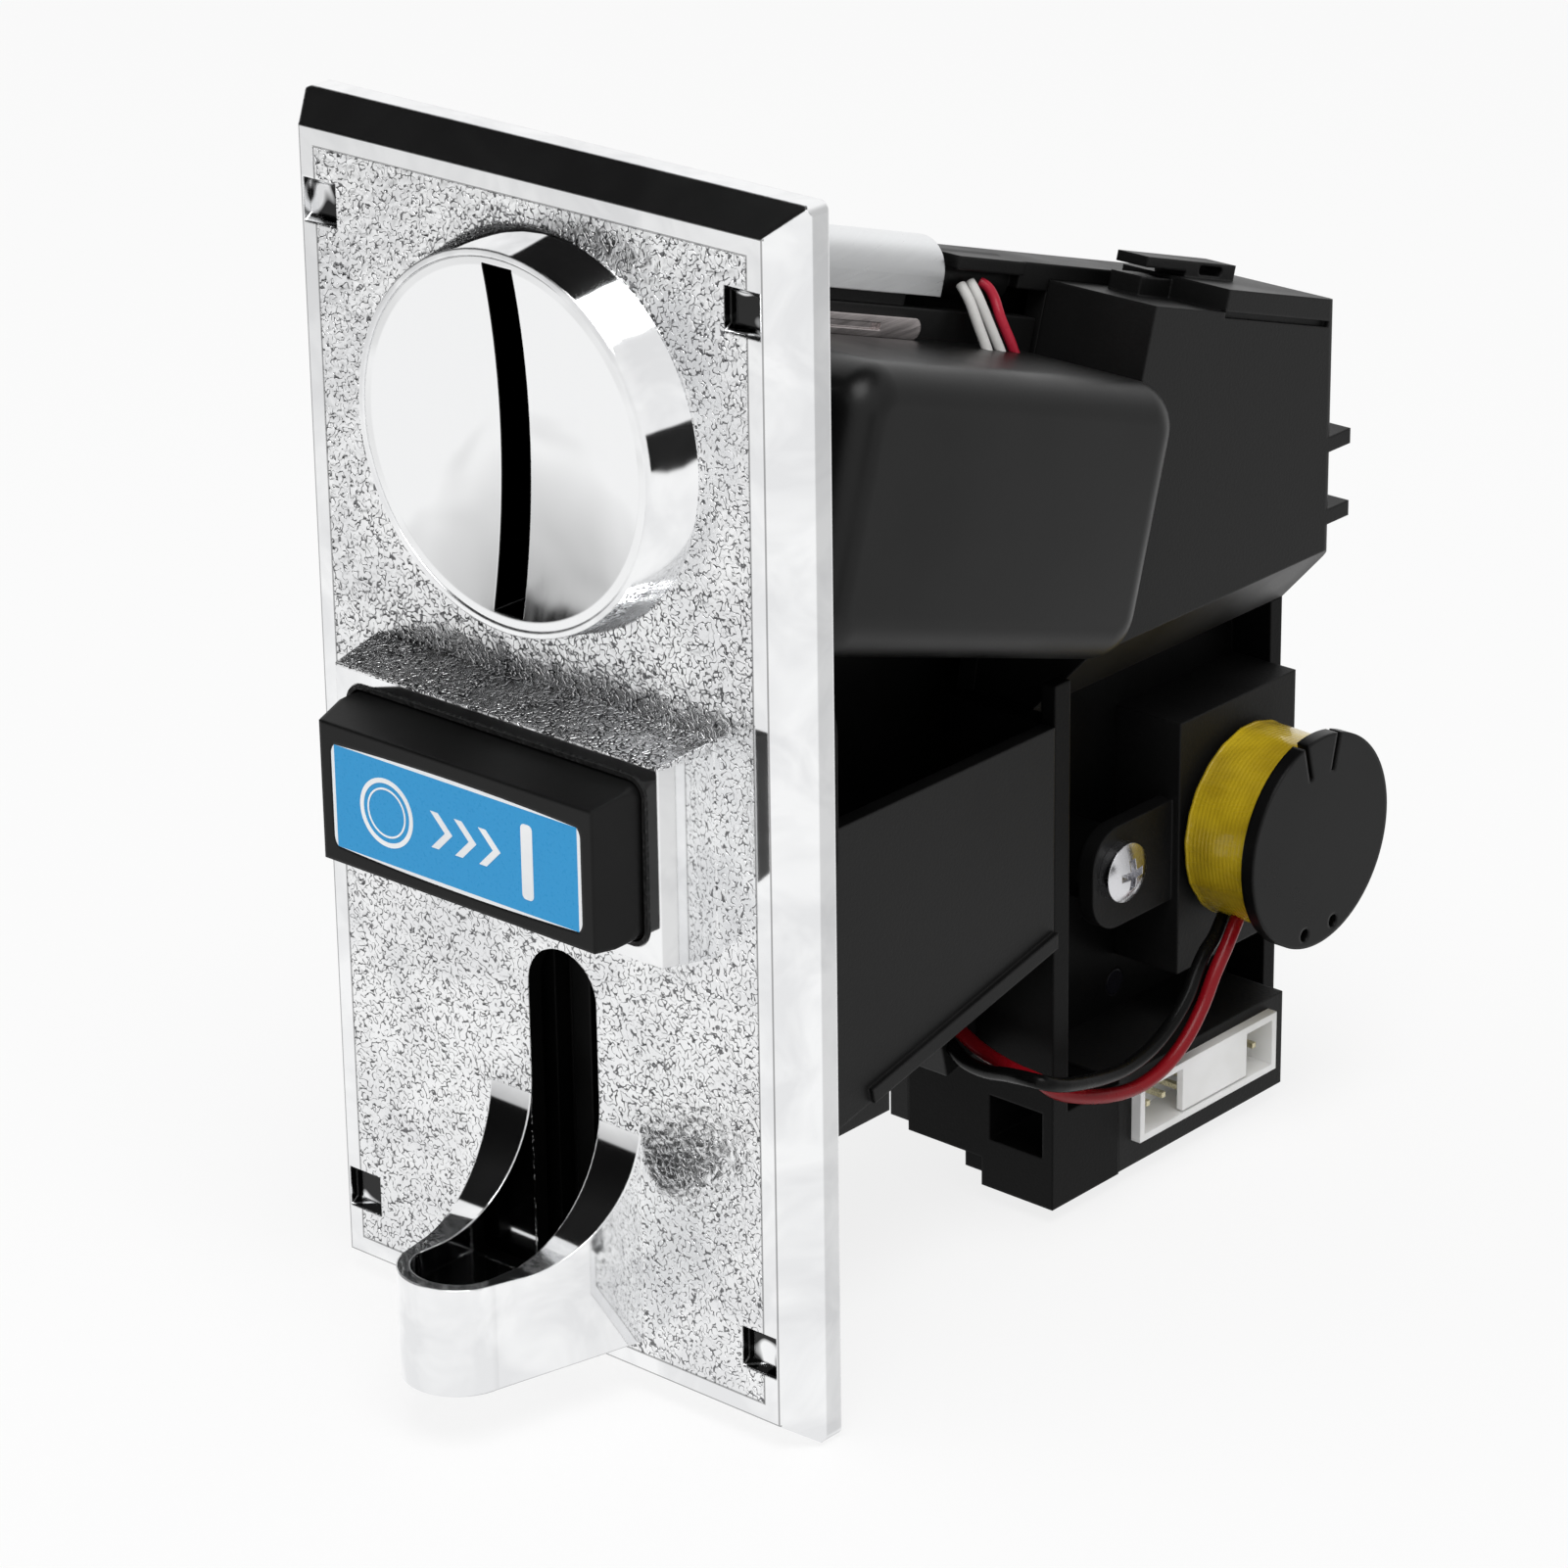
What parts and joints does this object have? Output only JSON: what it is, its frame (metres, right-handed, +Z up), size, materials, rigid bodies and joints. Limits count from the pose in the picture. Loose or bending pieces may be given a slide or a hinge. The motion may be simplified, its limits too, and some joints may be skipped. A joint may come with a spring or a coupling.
{
  "type": "coin acceptor",
  "caption": "Coin acceptor: chromed front plate with coin slot, return button and cup, hinged coin channel, sensors, solenoid gate and connector.",
  "frame": {"origin": "centre of the plate's rear face, which rests on the panel", "axes": "+Y from the panel face back along the mechanism, the plate faces -Y; +X to the right as the user sees the plate; +Z up"},
  "size_m": [0.065, 0.1272, 0.127],
  "materials": {
    "chrome_plate": "bright chromed field with fine grain and a smooth border",
    "entry_metal": "polished dished metal",
    "bezel_rubber": "pebbled black",
    "cap_plastic": "black, moulded, soft gloss",
    "label_blue": "blue with a thin white border, no words",
    "spring_steel": "wire",
    "screw_steel": "zinc plated",
    "board_green": "circuit board",
    "frame_plastic": "black, moulded",
    "body_plastic": "satin black, moulded",
    "gate_plastic": "satin black, moulded",
    "cover_plastic": "satin black, moulded, smooth",
    "sleeve_metal": "satin light grey",
    "strip_steel": "bright steel",
    "coil_copper": "enamelled copper wire",
    "tape_yellow": "amber yellow tape",
    "lead_white": "insulation",
    "lead_red": "insulation",
    "lead_black": "insulation",
    "plug_white": "white nylon",
    "contact_metal": "tinned contacts",
    "core_steel": "ground steel",
    "sensor_plastic": "dark tinted"
  },
  "bodies": {
    "acceptor": {"front_plate": "chrome_plate", "coin_entry": "entry_metal", "button_gasket": "bezel_rubber", "button_springs": "spring_steel", "lamp_board": "board_green", "back_frame": "frame_plastic", "plate_screws": "screw_steel", "chassis": "body_plastic", "channel_wall": "body_plastic", "rear_cover": "body_plastic", "return_chute": "body_plastic", "lower_body": "body_plastic", "hinge_pin": "core_steel", "hinge_sleeve": "sleeve_metal", "gate_spring": "spring_steel", "solenoid_bracket": "frame_plastic", "solenoid_screw": "screw_steel", "solenoid_bobbin": "cap_plastic", "solenoid_coil": "tape_yellow", "plunger_spring": "spring_steel", "coil_lead_red": "lead_red", "coil_lead_black": "lead_black", "connector_carrier": "frame_plastic", "connector_housing": "plug_white", "connector_pins": "contact_metal", "control_board": "board_green", "side_cover": "cover_plastic", "fixed_coils": "coil_copper", "exit_sensor": "sensor_plastic"},
    "button": {"button_cap": "cap_plastic", "button_label": "label_blue", "push_rod": "frame_plastic"},
    "gate": {"gate_plate": "gate_plastic", "steel_strip": "strip_steel", "sensor_cover": "cover_plastic", "sensor_board": "board_green", "sensor_coils": "coil_copper", "sensor_leads_white": "lead_white", "sensor_lead_red": "lead_red"},
    "accept": {"plunger": "core_steel", "accept_gate": "gate_plastic"}
  },
  "joints": [
    {"name": "button_press", "type": "slide", "parent": "acceptor", "child": "button", "axis": [0, 1, 0], "range_m": [0, 0.005], "stiffness_N_per_m": 400, "springref_m": -0.003, "deforming": ["button_springs"]},
    {"name": "gate_swing", "type": "hinge", "parent": "acceptor", "child": "gate", "pos_m": [0.0022, 0.03441, 0.04322], "axis": [0, -0.9548, 0.2974], "range_deg": [0, 6.1], "stiffness_Nm_per_rad": 0.05, "springref_deg": -17.19, "deforming": ["gate_spring"]},
    {"name": "accept_pull", "type": "slide", "parent": "acceptor", "child": "accept", "axis": [1, 0, 0], "range_m": [0, 0.0036], "stiffness_N_per_m": 150, "springref_m": -0.002, "deforming": ["plunger_spring"]}
  ],
  "couplings": [
    {"joint": "gate_swing", "follows": "button_press", "rad_per_m": 21}
  ]
}
